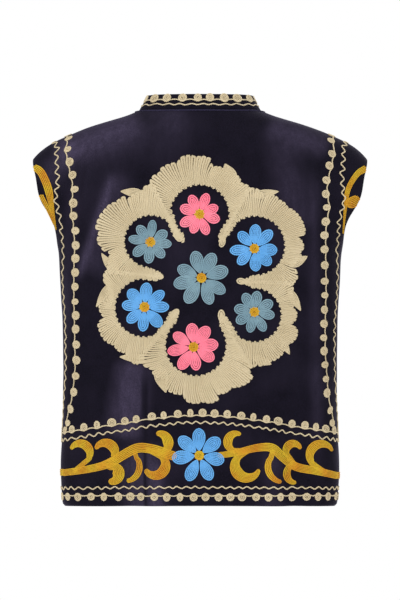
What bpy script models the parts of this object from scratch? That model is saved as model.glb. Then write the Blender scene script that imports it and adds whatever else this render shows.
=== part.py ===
"""A sleeveless folk vest in velvet, shaped as it is worn: a back, two fronts and a stand collar.

The wearer faces -Y and their left is +X. The origin is the middle of the neck, level with the
points where the shoulder seams meet the collar. Sizes are in millimetres until a mesh is made.
"""

import math
from collections import namedtuple

import bmesh
import bpy
import numpy as np
from mathutils import Vector

MM = 0.001

# The cloth and its seams.
CLOTH_THICKNESS = 2.0
COLLAR_THICKNESS = 2.6
SEAM_GAP = 0.3
FRONT_EDGE_GAP = 3.0

# A turn is an angle round the figure: 0 at the centre back, 90 at the side, 180 at the centre front.
SIDE_TURN = 90.0
FRONT_TURN = 180.0

# A share is a height on the cloth: 0 at the hem, 1 at the neck seam.
UNDERARM_SHARE = 0.58
SHOULDER_TIP_SHARE = 0.80

# How far the armhole reaches round to the back and to the front, in degrees of turn.
ARMHOLE_BACK_REACH = 28.0
ARMHOLE_FRONT_REACH = 32.0

# How many rows and columns of faces each panel has.
ROWS_BELOW_UNDERARM = 15
ROWS_BESIDE_ARMHOLE = 10
ROWS_OVER_SHOULDER = 7
END_ROW_CROWDING = 0.5
BACK_COLUMNS = 50
FRONT_COLUMNS = 23
COLLAR_COLUMNS = 46
COLLAR_ROWS = 3

NAVY_VELVET = (0.018, 0.014, 0.030)
SHARP_EDGE_ANGLE = 50.0

# The cloth's form, a row for each level line from the hem to the neck. side, back and front are
# where the line passes at the wearer's sides, centre back and centre front. The squares say how
# boxy the line is, from 2 for an oval upwards.
Section = namedtuple(
    "Section",
    "name share side_x side_z back_y back_z front_y front_z back_square front_square",
)
SECTIONS = [
    Section("hem", 0.00, 184.5, -533.5, 98, -531.5, 104, -534, 3.0, 2.7),
    Section("hem band", 0.09, 187.5, -489, 98, -486, 105, -490, 3.0, 2.7),
    Section("above the band", 0.20, 185.5, -432, 97, -429, 106, -433, 3.0, 2.7),
    Section("waist", 0.34, 184.5, -350, 95, -346, 107, -350, 3.0, 2.6),
    Section("ribs", 0.46, 186.5, -266, 96, -262, 111, -266, 3.0, 2.5),
    Section("chest", 0.53, 189.5, -218, 98, -210, 113, -216, 2.9, 2.5),
    Section("underarm", 0.58, 192.5, -184, 98, -176, 111, -188, 2.8, 2.45),
    Section("low armhole", 0.62, 203.0, -157, 97, -153, 107, -170, 2.7, 2.4),
    Section("mid armhole", 0.68, 231.0, -124, 94.3, -122, 100, -148, 2.5, 2.3),
    Section("high armhole", 0.74, 236.5, -95, 90.5, -92, 93, -129, 2.3, 2.2),
    Section("shoulder tip", 0.80, 225.5, -66, 85.5, -65, 85, -112, 2.15, 2.1),
    Section("outer shoulder", 0.84, 204.5, -47, 81.3, -49, 78, -101, 2.05, 2.05),
    Section("mid shoulder", 0.88, 175.0, -32.5, 77.0, -35.5, 72, -91, 2.0, 2.0),
    Section("inner shoulder", 0.92, 141.0, -19.5, 72.0, -23, 67, -82, 2.0, 2.0),
    Section("neck slope", 0.96, 107.0, -9.5, 66.5, -12, 62.5, -74, 2.0, 2.0),
    Section("neck seam", 1.00, 82.5, 0.0, 60, -2, 58, -66, 2.0, 2.0),
]

# Soft folds, each along a straight line from its foot to its head as seen from behind or in front.
# A positive depth is a ridge and a negative one a trough. face is 1 on the back, -1 on the fronts.
Fold = namedtuple("Fold", "name face foot_x foot_z head_x head_z depth width")
FOLDS = [
    Fold("left hem crest", 1, 59, -560, 68, -395, 6.5, 18),
    Fold("left hem flute", 1, 92, -560, 99, -380, -9.0, 18),
    Fold("right hem crest", 1, -97, -560, -88, -385, 5.5, 18),
    Fold("right hem flute", 1, -128, -560, -119, -390, -8.5, 17),
    Fold("centre slack", 1, 20, -520, 30, -330, 2.5, 22),
    Fold("left shoulder drape", 1, 152, -300, 122, -50, 4.5, 17),
    Fold("left blade hollow", 1, 116, -310, 92, -80, -3.5, 20),
    Fold("right shoulder drape", 1, -153, -360, -131, -55, 4.0, 17),
    Fold("right blade hollow", 1, -120, -330, -97, -90, -3.0, 20),
    Fold("left front crest", -1, 69, -560, 72, -320, 6.0, 19),
    Fold("left front flute", -1, 104, -560, 97, -345, -7.5, 18),
    Fold("right front crest", -1, -62, -560, -70, -310, 6.0, 19),
    Fold("right front flute", -1, -97, -560, -95, -350, -7.5, 18),
    Fold("left front drape", -1, 146, -300, 124, -90, 4.5, 18),
    Fold("right front drape", -1, -148, -320, -127, -95, 4.5, 18),
]

# The share of a fold's length over which each end dies away, and how near the side seam, as the
# cosine of the turn, all folds do.
FOLD_FADE = 0.22
FOLD_SIDE_FADE = 0.4

# The stand collar leans inwards as it rises, a little more at its foot than at its top, with its
# two ends rounded at the centre front.
COLLAR_LEAN_SIDE = 11.0
COLLAR_LEAN_BACK = 6.0
COLLAR_LEAN_FRONT = 7.0
COLLAR_LEAN_CURVE = 0.15
COLLAR_RISE_SIDE = 20.0
COLLAR_RISE_BACK = 20.5
COLLAR_RISE_FRONT = 20.0
COLLAR_SEAT_GAP = 0.35
COLLAR_END_ROUNDING = 9.0
COLLAR_END_COLUMNS = (0.45, 0.75, 0.93, 1.0)

# Half the step, in degrees, in share and in the collar's rise, over which a slope is measured.
TURN_STEP = 0.4
SHARE_STEP = 0.002
RISE_STEP = 0.05


def smooth(t):
    """0 to 1 with level ends."""
    t = max(0.0, min(1.0, t))
    return t * t * (3 - 2 * t)


def even_slopes(field):
    """The slopes at the rows of SECTIONS that give one of its columns no sudden change of bend."""
    shares = np.array([section.share for section in SECTIONS])
    sizes = np.array([getattr(section, field) for section in SECTIONS], dtype=float)
    spans = np.diff(shares)
    rates = np.diff(sizes) / spans
    count = len(SECTIONS)
    weights = np.zeros((count, count))
    goals = np.zeros(count)
    weights[0, :2] = (2, 1)
    weights[-1, -2:] = (1, 2)
    goals[0] = 3 * rates[0]
    goals[-1] = 3 * rates[-1]
    for i in range(1, count - 1):
        below, above = 1 / spans[i - 1], 1 / spans[i]
        weights[i, i - 1 : i + 2] = (below, 2 * (below + above), above)
        goals[i] = 3 * (rates[i - 1] * below + rates[i] * above)
    return [float(slope) for slope in np.linalg.solve(weights, goals)]


SLOPES = {field: even_slopes(field) for field in Section._fields[2:]}


def size_at(share, field):
    """One column of SECTIONS at this share, on a smooth curve through the table's rows."""
    i = 0
    while i < len(SECTIONS) - 2 and share > SECTIONS[i + 1].share:
        i += 1
    low, high = SECTIONS[i], SECTIONS[i + 1]
    span = high.share - low.share
    t = (share - low.share) / span
    return (
        getattr(low, field) * (1 + 2 * t) * (1 - t) ** 2
        + SLOPES[field][i] * span * t * (1 - t) ** 2
        + getattr(high, field) * t * t * (3 - 2 * t)
        + SLOPES[field][i + 1] * span * t * t * (t - 1)
    )


def fall(back):
    """How far a level line has fallen at this cosine of the turn: 0 at a side, 1 at a middle."""
    return back**2 if back > 0 else back**2 * (2 + back)


def figure_point(turn, share):
    """The smooth figure under the folds: rounded rectangles that become ovals towards the neck."""
    across, back = math.sin(math.radians(turn)), math.cos(math.radians(turn))
    share_of_back = (1 + back) / 2
    square = size_at(share, "front_square") * (1 - share_of_back)
    square += size_at(share, "back_square") * share_of_back
    reach = (abs(across) ** square + abs(back) ** square) ** (-1 / square)
    face = "back" if back > 0 else "front"
    side_z = size_at(share, "side_z")
    return Vector(
        (
            size_at(share, "side_x") * across * reach,
            size_at(share, face + "_y") * back * reach,
            side_z + (size_at(share, face + "_z") - side_z) * fall(back),
        )
    )


def outward(point_at, turn, height, height_step):
    """The unit normal, pointing out, of a surface given as a function of turn and height."""
    round_figure = point_at(turn + TURN_STEP, height) - point_at(turn - TURN_STEP, height)
    upwards = point_at(turn, height + height_step) - point_at(turn, height - height_step)
    return upwards.cross(round_figure).normalized()


def fold_depth(point, turn):
    """How far the folds push the cloth out at this point of the figure."""
    facing = math.cos(math.radians(turn))
    total = 0.0
    for fold in FOLDS:
        if facing * fold.face <= 0:
            continue
        along = Vector((fold.head_x - fold.foot_x, fold.head_z - fold.foot_z))
        away = Vector((point.x - fold.foot_x, point.z - fold.foot_z))
        share_up = away.dot(along) / along.length_squared
        distance = (away - along * share_up).length
        ends = smooth((1 - share_up) / FOLD_FADE) * smooth((share_up + FOLD_FADE) / FOLD_FADE)
        total += fold.depth * math.exp(-((distance / fold.width) ** 2)) * ends
    return total * smooth(abs(facing) / FOLD_SIDE_FADE)


def cloth_point(turn, share):
    """A point on the outside of the cloth."""
    point = figure_point(turn, share)
    depth = fold_depth(point, turn)
    if depth == 0.0:
        return point
    return point + outward(figure_point, turn, share, SHARE_STEP) * depth


def armhole_bulge(share):
    """0 at the underarm and at the shoulder tip, 1 halfway up, as an oval armhole widens."""
    middle = (UNDERARM_SHARE + SHOULDER_TIP_SHARE) / 2
    from_middle = (share - middle) / (SHOULDER_TIP_SHARE - middle)
    return math.sqrt(max(0.0, 1 - from_middle**2))


def back_turn(across, share):
    """The turn of a column of the back panel, from -1 at its right edge to 1 at its left edge."""
    seam = math.degrees(SEAM_GAP / 2 / size_at(share, "back_y"))
    armhole = ARMHOLE_BACK_REACH * armhole_bulge(share) * across**2
    return across * (SIDE_TURN - seam - armhole)


def front_turn(across, share):
    """The turn of a column of a front, from 0 at its side edge to 1 at the centre front."""
    seam = math.degrees(SEAM_GAP / 2 / size_at(share, "front_y"))
    armhole = ARMHOLE_FRONT_REACH * armhole_bulge(share) * (1 - across) ** 2
    opening = math.degrees(FRONT_EDGE_GAP / 2 / size_at(share, "side_x"))
    start = SIDE_TURN + seam + armhole
    return start + across * (FRONT_TURN - opening - start)


def panel_shares():
    """The share of each row of a panel, with a row exactly at the underarm and at the tip.

    The rows beside the armhole are closer together towards both its ends, where it turns.
    """
    stretches = [
        (0.0, UNDERARM_SHARE, ROWS_BELOW_UNDERARM, 0.0),
        (UNDERARM_SHARE, SHOULDER_TIP_SHARE, ROWS_BESIDE_ARMHOLE, END_ROW_CROWDING),
        (SHOULDER_TIP_SHARE, 1.0, ROWS_OVER_SHOULDER, 0.0),
    ]
    shares = [0.0]
    for low, high, count, crowding in stretches:
        for i in range(1, count + 1):
            even = i / count
            crowded = (1 - math.cos(math.pi * even)) / 2
            shares.append(low + (high - low) * (even + (crowded - even) * crowding))
    return shares


def collar_point(turn, rise):
    """A point on the outside of the collar, from rise 0 at the neck seam to 1 at its top."""
    seam = figure_point(turn, 1.0)
    across, back = math.sin(math.radians(turn)), math.cos(math.radians(turn))
    back_lean = COLLAR_LEAN_BACK if back > 0 else COLLAR_LEAN_FRONT
    back_rise = COLLAR_RISE_BACK if back > 0 else COLLAR_RISE_FRONT
    lean_share = rise * (1 + COLLAR_LEAN_CURVE * (1 - rise))
    height = COLLAR_RISE_SIDE + (back_rise - COLLAR_RISE_SIDE) * back * back
    return seam + Vector(
        (
            -COLLAR_LEAN_SIDE * across * lean_share,
            -back_lean * back * lean_share,
            COLLAR_SEAT_GAP + height * rise,
        )
    )


def collar_top(turn):
    """How much of its full height the collar has at this turn: its ends are rounded off."""
    from_front = math.radians(FRONT_TURN - abs(turn)) * size_at(1.0, "side_x")
    from_end = max(0.0, from_front - FRONT_EDGE_GAP / 2)
    if from_end >= COLLAR_END_ROUNDING:
        return 1.0
    missing = COLLAR_END_ROUNDING - from_end
    drop = COLLAR_END_ROUNDING - math.sqrt(COLLAR_END_ROUNDING**2 - missing**2)
    return 1 - drop / COLLAR_RISE_FRONT


def collar_turns():
    """The turn of each column of the collar, with more of them at its rounded ends."""
    end = FRONT_TURN - math.degrees(FRONT_EDGE_GAP / 2 / size_at(1.0, "side_x"))
    rounded = math.degrees(COLLAR_END_ROUNDING / size_at(1.0, "side_x"))
    straight = end - rounded
    turns = [straight * (2 * i / COLLAR_COLUMNS - 1) for i in range(COLLAR_COLUMNS + 1)]
    corner = [straight + rounded * share for share in COLLAR_END_COLUMNS]
    return [-turn for turn in reversed(corner)] + turns + corner


def wall(name, outer, inner, material):
    """One closed wall between two grids of points, listed row by row from the lower edge up."""
    mesh = bmesh.new()
    grids = []
    for grid in (outer, inner):
        grids.append([[mesh.verts.new(point * MM) for point in row] for row in grid])
    out, inside = grids
    rows, columns = len(out) - 1, len(out[0]) - 1
    for r in range(rows):
        for c in range(columns):
            mesh.faces.new((out[r][c], out[r][c + 1], out[r + 1][c + 1], out[r + 1][c]))
            mesh.faces.new(
                (inside[r][c], inside[r + 1][c], inside[r + 1][c + 1], inside[r][c + 1])
            )
    for r in range(rows):
        for c in (0, columns):
            mesh.faces.new((out[r][c], out[r + 1][c], inside[r + 1][c], inside[r][c]))
    for c in range(columns):
        for r in (0, rows):
            mesh.faces.new((out[r][c], inside[r][c], inside[r][c + 1], out[r][c + 1]))
    bmesh.ops.recalc_face_normals(mesh, faces=mesh.faces)
    data = bpy.data.meshes.new(name)
    mesh.to_mesh(data)
    mesh.free()
    data.shade_smooth()
    data.set_sharp_from_angle(angle=math.radians(SHARP_EDGE_ANGLE))
    data.materials.append(material)
    obj = bpy.data.objects.new(name, data)
    bpy.context.scene.collection.objects.link(obj)
    return obj


def velvet():
    """Dark navy cotton velvet."""
    material = bpy.data.materials.new("navy_velvet")
    material.use_nodes = True
    shader = material.node_tree.nodes["Principled BSDF"]
    shader.inputs["Base Color"].default_value = (*NAVY_VELVET, 1.0)
    shader.inputs["Roughness"].default_value = 0.9
    shader.inputs["Metallic"].default_value = 0.0
    return material


def panel(name, turns_of_row, material):
    """A body panel: turns_of_row gives the turns of a row's points at each share."""
    outer, inner = [], []
    for share in panel_shares():
        places = [(turn, min(share, 1 - SHARE_STEP)) for turn in turns_of_row(share)]
        points = [cloth_point(turn, share) for turn, _ in places]
        normals = [outward(cloth_point, turn, at, SHARE_STEP) for turn, at in places]
        outer.append(points)
        inner.append([p - n * CLOTH_THICKNESS for p, n in zip(points, normals)])
    return wall(name, outer, inner, material)


def back_panel(material):
    """The back, cut in one with its cap shoulders."""
    columns = [2 * i / BACK_COLUMNS - 1 for i in range(BACK_COLUMNS + 1)]
    return panel("back", lambda share: [back_turn(c, share) for c in columns], material)


def front_panel(name, side, material):
    """One front, from its side seam to the centre front. side is 1 on the wearer's left."""
    columns = [i / FRONT_COLUMNS for i in range(FRONT_COLUMNS + 1)]
    return panel(name, lambda share: [side * front_turn(c, share) for c in columns], material)


def stand_collar(material):
    """The collar, one strip round the neck from one centre front edge to the other."""
    outer, inner = [], []
    for row in range(COLLAR_ROWS + 1):
        points, insides = [], []
        for turn in collar_turns():
            rise = row / COLLAR_ROWS * collar_top(turn)
            point = collar_point(turn, rise)
            points.append(point)
            normal = outward(collar_point, turn, rise, RISE_STEP)
            insides.append(point - normal * COLLAR_THICKNESS)
        outer.append(points)
        inner.append(insides)
    return wall("collar", outer, inner, material)


def clear_scene():
    for obj in list(bpy.data.objects):
        bpy.data.objects.remove(obj)


def main():
    clear_scene()
    material = velvet()
    back_panel(material)
    front_panel("front_left", 1, material)
    front_panel("front_right", -1, material)
    stand_collar(material)


main()
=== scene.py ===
import math
import random
from collections import namedtuple

import bmesh
import bpy
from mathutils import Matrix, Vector, noise
from mathutils.bvhtree import BVHTree


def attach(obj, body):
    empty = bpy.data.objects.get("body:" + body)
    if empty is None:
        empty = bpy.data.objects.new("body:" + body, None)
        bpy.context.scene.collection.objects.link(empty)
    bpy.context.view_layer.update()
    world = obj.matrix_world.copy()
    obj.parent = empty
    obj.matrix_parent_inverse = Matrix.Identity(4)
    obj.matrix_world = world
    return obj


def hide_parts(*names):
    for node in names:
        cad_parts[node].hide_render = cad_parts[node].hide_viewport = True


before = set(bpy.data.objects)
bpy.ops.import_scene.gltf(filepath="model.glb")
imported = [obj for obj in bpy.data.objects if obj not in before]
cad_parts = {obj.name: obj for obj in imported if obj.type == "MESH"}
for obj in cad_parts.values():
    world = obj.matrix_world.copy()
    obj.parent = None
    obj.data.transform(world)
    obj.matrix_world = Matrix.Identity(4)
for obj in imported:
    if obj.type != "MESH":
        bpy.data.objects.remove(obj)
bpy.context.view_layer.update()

# The back: one piece of navy cotton velvet, cut in one with its cap shoulders and worn over the
# shoulders. Its form is a smooth figure with soft folds, the same as the solid it stands for, and
# finer creases are laid on top. Sizes are in millimetres until a mesh is made.
MM = 0.001
CLOTH_THICKNESS = 2.0
EDGE_EASING = 0.7
# The panels are sewn together, so their edges all but meet at a seam.
SEAM_GAP = 0.04
FRONT_EDGE_GAP = 3.0
UNDERARM_SHARE = 0.58
SHOULDER_TIP_SHARE = 0.80
ARMHOLE_BACK_REACH = 28.0
BACK_COLUMNS = 150

# A share is a height on the cloth, 0 at the hem and 1 at the neck. A turn is an angle round the
# figure, 0 at the centre back, 90 at the wearer's left side and 180 at the centre front.
Section = namedtuple(
    "Section",
    "name share side_x side_z back_y back_z front_y front_z back_square front_square",
)
SECTIONS = [
    Section("hem", 0.00, 184.5, -533.5, 98, -531.5, 104, -534, 3.0, 2.7),
    Section("hem band", 0.09, 187.5, -489, 98, -486, 105, -490, 3.0, 2.7),
    Section("above the band", 0.20, 185.5, -432, 97, -429, 106, -433, 3.0, 2.7),
    Section("waist", 0.34, 184.5, -350, 95, -346, 107, -350, 3.0, 2.6),
    Section("ribs", 0.46, 186.5, -266, 96, -262, 111, -266, 3.0, 2.5),
    Section("chest", 0.53, 189.5, -218, 98, -210, 113, -216, 2.9, 2.5),
    Section("underarm", 0.58, 192.5, -184, 98, -176, 111, -188, 2.8, 2.45),
    Section("low armhole", 0.62, 203.0, -157, 97, -153, 107, -170, 2.7, 2.4),
    Section("mid armhole", 0.68, 231.0, -124, 94.3, -122, 100, -148, 2.5, 2.3),
    Section("high armhole", 0.74, 236.5, -95, 90.5, -92, 93, -129, 2.3, 2.2),
    Section("shoulder tip", 0.80, 225.5, -66, 85.5, -65, 85, -112, 2.15, 2.1),
    Section("outer shoulder", 0.84, 204.5, -47, 81.3, -49, 78, -101, 2.05, 2.05),
    Section("mid shoulder", 0.88, 175.0, -32.5, 77.0, -35.5, 72, -91, 2.0, 2.0),
    Section("inner shoulder", 0.92, 141.0, -19.5, 72.0, -23, 67, -82, 2.0, 2.0),
    Section("neck slope", 0.96, 107.0, -9.5, 66.5, -12, 62.5, -74, 2.0, 2.0),
    Section("neck seam", 1.00, 82.5, 0.0, 60, -2, 58, -66, 2.0, 2.0),
]

# Folds and creases, each along a line from its foot to its head as seen from behind or in front.
# face is 1 on the back and -1 on the fronts. A positive depth is a ridge, a negative one a trough.
Fold = namedtuple("Fold", "name face foot_x foot_z head_x head_z depth width")
FOLDS = [
    Fold("left hem crest", 1, 59, -560, 68, -395, 6.5, 18),
    Fold("left hem flute", 1, 92, -560, 99, -380, -9.0, 18),
    Fold("right hem crest", 1, -97, -560, -88, -385, 5.5, 18),
    Fold("right hem flute", 1, -128, -560, -119, -390, -8.5, 17),
    Fold("centre slack", 1, 20, -520, 30, -330, 2.5, 22),
    Fold("left shoulder drape", 1, 152, -300, 122, -50, 4.5, 17),
    Fold("left blade hollow", 1, 116, -310, 92, -80, -3.5, 20),
    Fold("right shoulder drape", 1, -153, -360, -131, -55, 4.0, 17),
    Fold("right blade hollow", 1, -120, -330, -97, -90, -3.0, 20),
    Fold("left front crest", -1, 69, -560, 72, -320, 6.0, 19),
    Fold("left front flute", -1, 104, -560, 97, -345, -7.5, 18),
    Fold("right front crest", -1, -62, -560, -70, -310, 6.0, 19),
    Fold("right front flute", -1, -97, -560, -95, -350, -7.5, 18),
    Fold("left front drape", -1, 146, -300, 124, -90, 4.5, 18),
    Fold("right front drape", -1, -148, -320, -127, -95, 4.5, 18),
]
CREASES = [
    Fold("left shoulder pull", 1, 160, -165, 128, -62, 1.3, 8),
    Fold("left blade crease", 1, 131, -262, 139, -120, 1.1, 7),
    Fold("left side crease", 1, 148, -420, 158, -250, -1.0, 8),
    Fold("left band crease", 1, 76, -548, 74, -350, -1.5, 5),
    Fold("centre band crease", 1, -24, -545, -18, -425, 0.8, 9),
    Fold("right band crease", 1, -112, -548, -108, -430, 0.9, 6),
    Fold("right shoulder pull", 1, -158, -180, -133, -70, 1.1, 8),
    Fold("right blade crease", 1, -132, -290, -146, -130, -1.0, 7),
    Fold("neck slack", 1, -66, -38, 20, -26, 0.8, 8),
    Fold("left front pull", -1, 152, -190, 128, -84, 1.2, 8),
    Fold("left front slack", -1, 38, -440, 52, -240, -1.1, 10),
    Fold("left chest crease", -1, 118, -260, 84, -150, 1.0, 9),
    Fold("right front pull", -1, -155, -200, -130, -88, 1.2, 8),
    Fold("right front slack", -1, -44, -450, -40, -260, 1.0, 10),
    Fold("right chest crease", -1, -122, -250, -92, -140, -0.9, 9),
]
# A fold fades over this share of its length, up to its head and down past its foot, and also
# where the cloth turns to face sideways.
FOLD_FADE = 0.22
FOLD_SIDE_FADE = 0.4

# Painted highlights and shade on the velvet: lines where its colour is painted lighter, as the sheen
# its folds and shoulders catch from the light, or darker, as painted shade in a crease or hollow.
# Here a fold's depth is how much lighter the velvet is painted, and a negative one how much darker.
PAINTED_SHEEN_AND_SHADE = [
    Fold("left shoulder", 1, 178, -56, 70, -16, 0.40, 21),
    Fold("left shoulder, inner", 1, 150, -48, 6, -8, 0.16, 30),
    Fold("left shoulder, outer", 1, 205, -95, 165, -40, 0.30, 16),
    Fold("left blade", 1, 156, -212, 112, -84, 0.42, 6),
    Fold("left blade, wide", 1, 140, -206, 100, -80, 0.20, 17),
    Fold("left edge", 1, 178, -330, 170, -90, 0.12, 10),
    Fold("left ribs, dark", 1, 150, -400, 146, -222, -0.20, 22),
    Fold("left of the hem", 1, 96, -430, 88, -330, 0.52, 22),
    Fold("left hem band", 1, 74, -560, 82, -440, 0.42, 28),
    Fold("left hem crest", 1, 54, -560, 60, -470, 0.30, 9),
    Fold("left hem crease, dark", 1, 71, -560, 74, -340, -0.45, 2.6),
    Fold("right shoulder", 1, -160, -52, -84, -22, 0.30, 16),
    Fold("right blade", 1, -156, -420, -150, -60, 0.17, 9),
    Fold("right shoulder, inner", 1, -128, -150, -108, -40, 0.20, 22),
    Fold("right hem band", 1, -96, -560, -98, -450, 0.22, 16),
    Fold("left front shoulder", -1, 186, -88, 44, -56, 0.34, 22),
    Fold("left front drape", -1, 150, -330, 132, -110, 0.42, 12),
    Fold("left front hem", -1, 84, -560, 92, -360, 0.42, 24),
    Fold("right front shoulder", -1, -182, -90, -50, -52, 0.32, 24),
    Fold("right front drape", -1, -152, -350, -134, -110, 0.36, 12),
    Fold("right front hem", -1, -74, -560, -84, -380, 0.38, 22),
]

# The pile is also brushed unevenly all over, in lighter patches this far apart.
PILE_UNEVENNESS = 0.13
PILE_PATCH = 60.0

# The velvet is never quite flat: low swells this deep, this far apart.
SWELL_DEPTH = 0.55
SWELL_SPACING = 34.0

# The lowest few millimetres of the hem roll inwards where it is turned up, to half that depth.
HEM_ROLL = 6.0
HEM_ROLL_FLATNESS = 0.75
MM_PER_SHARE = 500.0

# The figure is compared this far to each side of a point, to find which way it faces.
TURN_STEP = 0.4
SHARE_STEP = 0.002


def smooth(t):
    """0 to 1 with level ends."""
    t = max(0.0, min(1.0, t))
    return t * t * (3 - 2 * t)


def even_slopes(field):
    """The slopes at the rows of SECTIONS that give one of its columns no sudden change of bend."""
    rows = [(section.share, getattr(section, field)) for section in SECTIONS]
    spans = [b[0] - a[0] for a, b in zip(rows, rows[1:])]
    rates = [(b[1] - a[1]) / span for a, b, span in zip(rows, rows[1:], spans)]
    last = len(rows) - 1
    spread, goal = [0.5], [1.5 * rates[0]]
    for i in range(1, last + 1):
        below = 1 / spans[i - 1]
        above = 1 / spans[i] if i < last else 0.0
        pull = 3 * (rates[i - 1] * below + (rates[i] * above if i < last else 0.0))
        weight = 2 * (below + above) - below * spread[-1]
        spread.append(above / weight)
        goal.append((pull - below * goal[-1]) / weight)
    slopes = [goal[-1]]
    for i in range(last - 1, -1, -1):
        slopes.append(goal[i] - spread[i] * slopes[-1])
    return slopes[::-1]


SLOPES = {field: even_slopes(field) for field in Section._fields[2:]}


def size_at(share, field):
    """One column of SECTIONS at this share, on a smooth curve through the table's rows."""
    i = 0
    while i < len(SECTIONS) - 2 and share > SECTIONS[i + 1].share:
        i += 1
    low, high = SECTIONS[i], SECTIONS[i + 1]
    span = high.share - low.share
    t = (share - low.share) / span
    return (
        getattr(low, field) * (1 + 2 * t) * (1 - t) ** 2
        + SLOPES[field][i] * span * t * (1 - t) ** 2
        + getattr(high, field) * t * t * (3 - 2 * t)
        + SLOPES[field][i + 1] * span * t * t * (t - 1)
    )


def figure_point(turn, share):
    """The smooth figure under the folds: rounded rectangles that become ovals at the neck."""
    across, back = math.sin(math.radians(turn)), math.cos(math.radians(turn))
    share_of_back = (1 + back) / 2
    square = size_at(share, "front_square") * (1 - share_of_back)
    square += size_at(share, "back_square") * share_of_back
    reach = (abs(across) ** square + abs(back) ** square) ** (-1 / square)
    face = "back" if back > 0 else "front"
    fall = back**2 if back > 0 else back**2 * (2 + back)
    side_z = size_at(share, "side_z")
    x = size_at(share, "side_x") * across * reach
    y = size_at(share, face + "_y") * back * reach
    return Vector((x, y, side_z + (size_at(share, face + "_z") - side_z) * fall))


def outward(turn, share):
    """The unit normal of the smooth figure here, pointing out."""
    sideways = figure_point(turn + TURN_STEP, share) - figure_point(turn - TURN_STEP, share)
    upwards = figure_point(turn, share + SHARE_STEP) - figure_point(turn, share - SHARE_STEP)
    return upwards.cross(sideways).normalized()


def fold_depth(point, turn, folds):
    """How far these folds push the cloth out at this point of the figure."""
    facing = math.cos(math.radians(turn))
    total = 0.0
    for fold in folds:
        if facing * fold.face <= 0:
            continue
        along = Vector((fold.head_x - fold.foot_x, fold.head_z - fold.foot_z))
        away = Vector((point.x - fold.foot_x, point.z - fold.foot_z))
        share_up = away.dot(along) / along.length_squared
        distance = (away - along * share_up).length
        ends = smooth((1 - share_up) / FOLD_FADE) * smooth((share_up + FOLD_FADE) / FOLD_FADE)
        total += fold.depth * math.exp(-((distance / fold.width) ** 2)) * ends
    return total * smooth(abs(facing) / FOLD_SIDE_FADE)


def cloth_point(turn, share):
    """A point on the outside of the velvet."""
    point = figure_point(turn, share)
    depth = fold_depth(point, turn, FOLDS) + fold_depth(point, turn, CREASES)
    depth += SWELL_DEPTH * noise.noise(point / SWELL_SPACING)
    from_edge = share * MM_PER_SHARE
    if from_edge < HEM_ROLL:
        missing = HEM_ROLL - from_edge
        depth -= HEM_ROLL - math.sqrt(HEM_ROLL**2 - missing**2 * HEM_ROLL_FLATNESS)
    return point + outward(turn, share) * depth


def armhole_bulge(share):
    """0 at the underarm and at the shoulder tip, 1 halfway up, as an oval armhole widens."""
    middle = (UNDERARM_SHARE + SHOULDER_TIP_SHARE) / 2
    from_middle = (share - middle) / (SHOULDER_TIP_SHARE - middle)
    return math.sqrt(max(0.0, 1 - from_middle**2))


def back_turn(across, share):
    """The turn of a column of the back, from -1 at its right edge to 1 at its left edge."""
    seam = math.degrees(SEAM_GAP / 2 / size_at(share, "back_y"))
    armhole = ARMHOLE_BACK_REACH * armhole_bulge(share) * across**2
    return across * (90 - seam - armhole)


# How many rows of faces a panel has in each stretch of its height, and how far the rows crowd
# towards the stretch's ends.
Stretch = namedtuple("Stretch", "name low high rows crowding")
STRETCHES = [
    Stretch("below the underarm", 0.0, UNDERARM_SHARE, 88, 0.0),
    Stretch("beside the armhole", UNDERARM_SHARE, SHOULDER_TIP_SHARE, 34, 0.5),
    Stretch("over the shoulder", SHOULDER_TIP_SHARE, 1.0, 30, 0.0),
]
PANEL_SHARES = [0.0]
for stretch in STRETCHES:
    for i in range(1, stretch.rows + 1):
        even = i / stretch.rows
        crowded = (1 - math.cos(math.pi * even)) / 2
        place = even + (crowded - even) * stretch.crowding
        PANEL_SHARES.append(stretch.low + (stretch.high - stretch.low) * place)


def linear(colour):
    """A colour written as sRGB hex, as the linear one that a shader takes."""
    parts = [int(colour[i : i + 2], 16) / 255 for i in (1, 3, 5)]
    return [c / 12.92 if c <= 0.04045 else ((c + 0.055) / 1.055) ** 2.4 for c in parts] + [1.0]


def node(owner, kind, sockets=None, **settings):
    """Adds a shader node to a material or world: sockets gives its inputs' values or links."""
    made = owner.node_tree.nodes.new("ShaderNode" + kind)
    for name, value in settings.items():
        setattr(made, name, value)
    for name, value in (sockets or {}).items():
        if isinstance(value, bpy.types.NodeSocket):
            owner.node_tree.links.new(value, made.inputs[name])
        else:
            made.inputs[name].default_value = value
    return made


def per_mm(size):
    """The scale of a noise whose lumps are this many millimetres apart."""
    return 1 / (size * MM)


BRUSH_MARK = 7.0


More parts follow.
